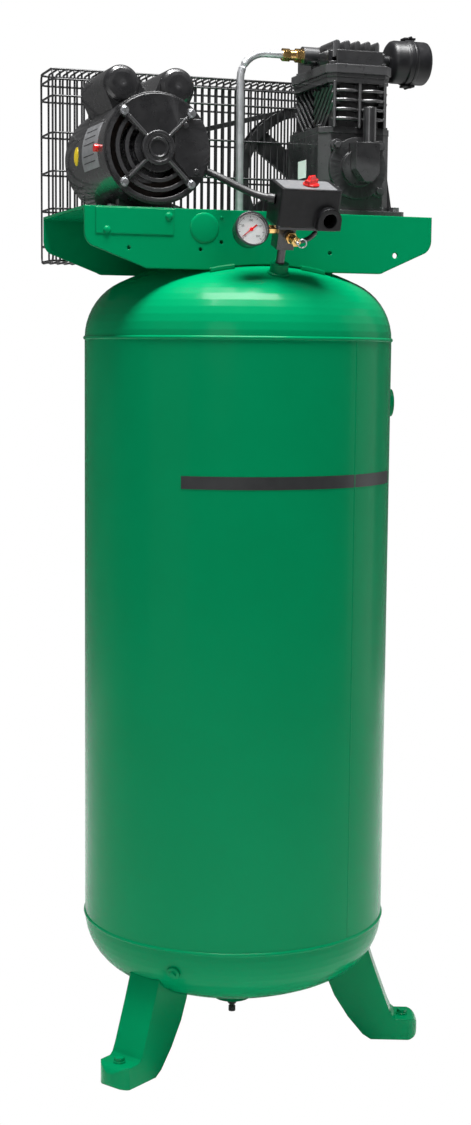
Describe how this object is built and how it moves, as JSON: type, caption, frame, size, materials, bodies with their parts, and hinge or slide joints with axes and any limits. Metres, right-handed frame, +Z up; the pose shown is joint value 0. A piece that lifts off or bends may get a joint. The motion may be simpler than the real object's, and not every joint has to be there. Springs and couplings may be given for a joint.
{
  "type": "air compressor",
  "caption": "Upright shop air compressor: tall green receiver on legs, belt-driven twin pump and electric motor on a top bracket.",
  "frame": {"origin": "on the floor, under the centre of the whole machine's bounding box", "axes": "+Z up along the receiver's axis; +X towards the pump and intake filter; -Y is the front, with the pressure switch and gauge; +Y is the belt guard's side"},
  "size_m": [0.6274, 0.574, 1.6975],
  "materials": {
    "green_paint": "gloss",
    "black_paint": "satin",
    "pump_iron": "satin",
    "drive_iron": "matt",
    "guard_wire": "satin",
    "bolt_steel": "zinc plated",
    "machined_steel": "machined",
    "alloy": "drawn",
    "brass": "machined",
    "winding": "varnished",
    "black_rubber": "matt",
    "black_plastic": "textured",
    "red_plastic": "moulded",
    "grey_metal": "satin",
    "dial_white": "printed",
    "needle_red": "painted",
    "lens": "clear",
    "filter_paper": "pleated"
  },
  "bodies": {
    "frame": {"tank_shell": "green_paint", "tank_top_head": "green_paint", "tank_bottom_head": "green_paint", "leg_front_left": "green_paint", "leg_front_right": "green_paint", "leg_rear": "green_paint", "foot_bolts": "green_paint", "tank_ports": "green_paint", "drain_valve_body": "black_paint", "base_bracket": "green_paint", "motor_shell": "black_paint", "motor_front_bell": "black_paint", "motor_rear_bell": "black_paint", "motor_stator": "winding", "capacitor_covers": "black_paint", "capacitors": "black_plastic", "motor_base": "black_paint", "motor_bolts": "bolt_steel", "terminal_cover": "black_paint", "crankcase": "pump_iron", "bearing_cover": "pump_iron", "breather": "pump_iron", "ball_bearings": "machined_steel", "cylinder_block": "pump_iron", "pistons": "alloy", "valve_plate": "pump_iron", "cylinder_head": "pump_iron", "pump_bolts": "pump_iron", "oil_plug": "black_paint", "filter_base": "grey_metal", "filter_cover": "black_plastic", "filter_element": "filter_paper", "v_belt": "black_rubber", "base_bolts": "bolt_steel", "discharge_tube": "alloy", "discharge_fittings": "brass", "check_valve": "brass", "unloader_tube": "black_paint", "pipe_nipple": "black_paint", "manifold": "black_paint", "safety_valve": "brass", "switch_base": "grey_metal", "switch_cover": "black_plastic", "gauge_case": "grey_metal", "gauge_dial": "dial_white", "gauge_lens": "lens", "motor_lead": "black_rubber", "guard_front": "guard_wire", "guard_rear": "guard_wire", "guard_sides": "guard_wire"},
    "crank": {"crankshaft": "machined_steel", "flywheel": "drive_iron"},
    "motor_spindle": {"motor_rotor": "machined_steel", "motor_pulley": "drive_iron"},
    "rods": {"connecting_rods": "machined_steel"},
    "drain_knob": {"drain_valve_knob": "black_paint"},
    "reset": {"reset_button": "red_plastic"},
    "safety_pull": {"safety_ring": "bolt_steel"},
    "selector": {"switch_knob": "red_plastic"},
    "needle": {"gauge_needle": "needle_red"}
  },
  "joints": [
    {"name": "crank_spin", "type": "hinge", "parent": "frame", "child": "crank", "pos_m": [0.16575, -0.033, 1.472], "axis": [0, 1, 0], "continuous": true},
    {"name": "motor_spin", "type": "hinge", "parent": "frame", "child": "motor_spindle", "pos_m": [-0.19525, -0.033, 1.482], "axis": [0, 1, 0], "continuous": true},
    {"name": "rod_swing", "type": "hinge", "parent": "crank", "child": "rods", "pos_m": [0.16575, -0.033, 1.487], "axis": [0, 1, 0], "continuous": true},
    {"name": "drain_turn", "type": "hinge", "parent": "frame", "child": "drain_knob", "pos_m": [-0.01625, -0.033, 0.05], "axis": [0, 0, -1], "range_deg": [0, 360]},
    {"name": "reset_push", "type": "slide", "parent": "frame", "child": "reset", "axis": [1, 0, 0], "range_m": [0, 0.003], "stiffness_N_per_m": 300, "springref_m": -0.002},
    {"name": "safety_pull", "type": "slide", "parent": "frame", "child": "safety_pull", "axis": [0, -0.9397, -0.342], "range_m": [0, 0.005], "stiffness_N_per_m": 400, "springref_m": -0.002},
    {"name": "selector_turn", "type": "hinge", "parent": "frame", "child": "selector", "pos_m": [0.02275, -0.2551, 1.42533], "axis": [0, -0.342, 0.9397], "range_deg": [0, 90]},
    {"name": "needle_turn", "type": "hinge", "parent": "frame", "child": "needle", "pos_m": [-0.06625, -0.24094, 1.3593], "axis": [0, 0.9781, -0.2079], "range_deg": [0, 270], "stiffness_Nm_per_rad": 0.002}
  ],
  "couplings": [
    {"joint": "motor_spin", "follows": "crank_spin", "ratio": 5},
    {"joint": "rod_swing", "follows": "crank_spin", "ratio": -1}
  ]
}
